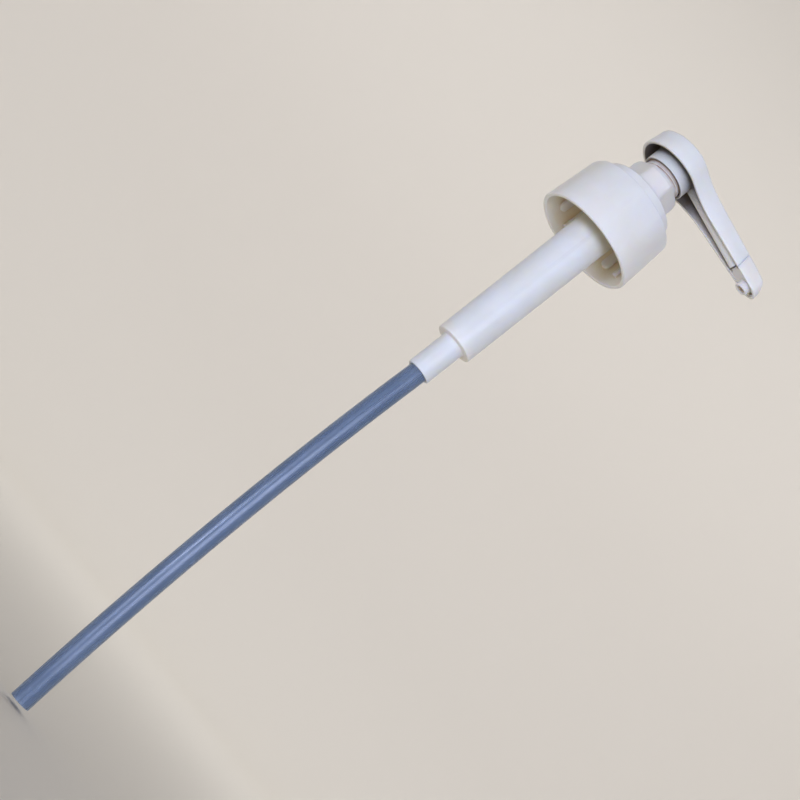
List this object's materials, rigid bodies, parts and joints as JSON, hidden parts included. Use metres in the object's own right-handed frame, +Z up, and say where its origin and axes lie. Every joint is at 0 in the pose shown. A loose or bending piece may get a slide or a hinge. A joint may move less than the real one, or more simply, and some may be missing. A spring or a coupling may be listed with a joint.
{
  "type": "plunger dispensing pump",
  "caption": "White plastic plunger pump for a jug or can: long spout arm with a thumb pad, screw closure, slim cylinder and a long translucent dip tube.",
  "frame": {"origin": "on the pump's axis, in the plane where the neck gasket seals on the container's mouth", "axes": "+Z up along the pump's axis to the thumb pad, +X along the spout arm, +Y completes a right-handed frame"},
  "size_m": [0.0958, 0.054, 0.3777],
  "materials": {
    "white_pp": "injection-moulded white polypropylene, soft gloss",
    "white_pp_cylinder": "injection-moulded white polypropylene, soft gloss",
    "natural_pp": "moulded natural polypropylene, ivory and slightly translucent",
    "dip_tube_pe": "extruded translucent low-density polyethylene",
    "gasket_foam": "die-cut polyethylene foam",
    "seal_rubber": "moulded nitrile rubber",
    "spring_steel": "drawn stainless spring wire",
    "ball_steel": "ground and polished stainless steel"
  },
  "bodies": {
    "cylinder": {"pump_cylinder": "white_pp_cylinder", "neck_gasket": "gasket_foam", "dip_tube": "dip_tube_pe", "lock_collar": "white_pp", "stem_wiper": "seal_rubber", "ball_cage": "natural_pp", "return_spring": "spring_steel"},
    "closure": {"closure_cap": "white_pp"},
    "piston": {"piston_cup": "seal_rubber"},
    "plunger": {"piston_valve_seat": "natural_pp", "plunger_stem": "natural_pp", "actuator_head": "white_pp", "nozzle_tip": "white_pp"},
    "inlet_ball": {"inlet_check_ball": "ball_steel"},
    "outlet_ball": {"outlet_check_ball": "ball_steel"}
  },
  "joints": [
    {"name": "closure_spin", "type": "hinge", "parent": "cylinder", "child": "closure", "pos_m": [0, 0, 0], "axis": [0, 0, 1], "continuous": true},
    {"name": "plunger_stroke", "type": "slide", "parent": "cylinder", "child": "piston", "axis": [0, 0, 1], "range_m": [0, 0.05], "deforming": ["return_spring"]},
    {"name": "head_turn", "type": "hinge", "parent": "piston", "child": "plunger", "pos_m": [0, 0, 0], "axis": [0, 0, 1], "continuous": true},
    {"name": "inlet_ball_lift", "type": "slide", "parent": "cylinder", "child": "inlet_ball", "axis": [0, 0, 1], "range_m": [0, 0.0025]},
    {"name": "outlet_ball_lift", "type": "slide", "parent": "plunger", "child": "outlet_ball", "axis": [0, 0, 1], "range_m": [0, 0.002]}
  ]
}
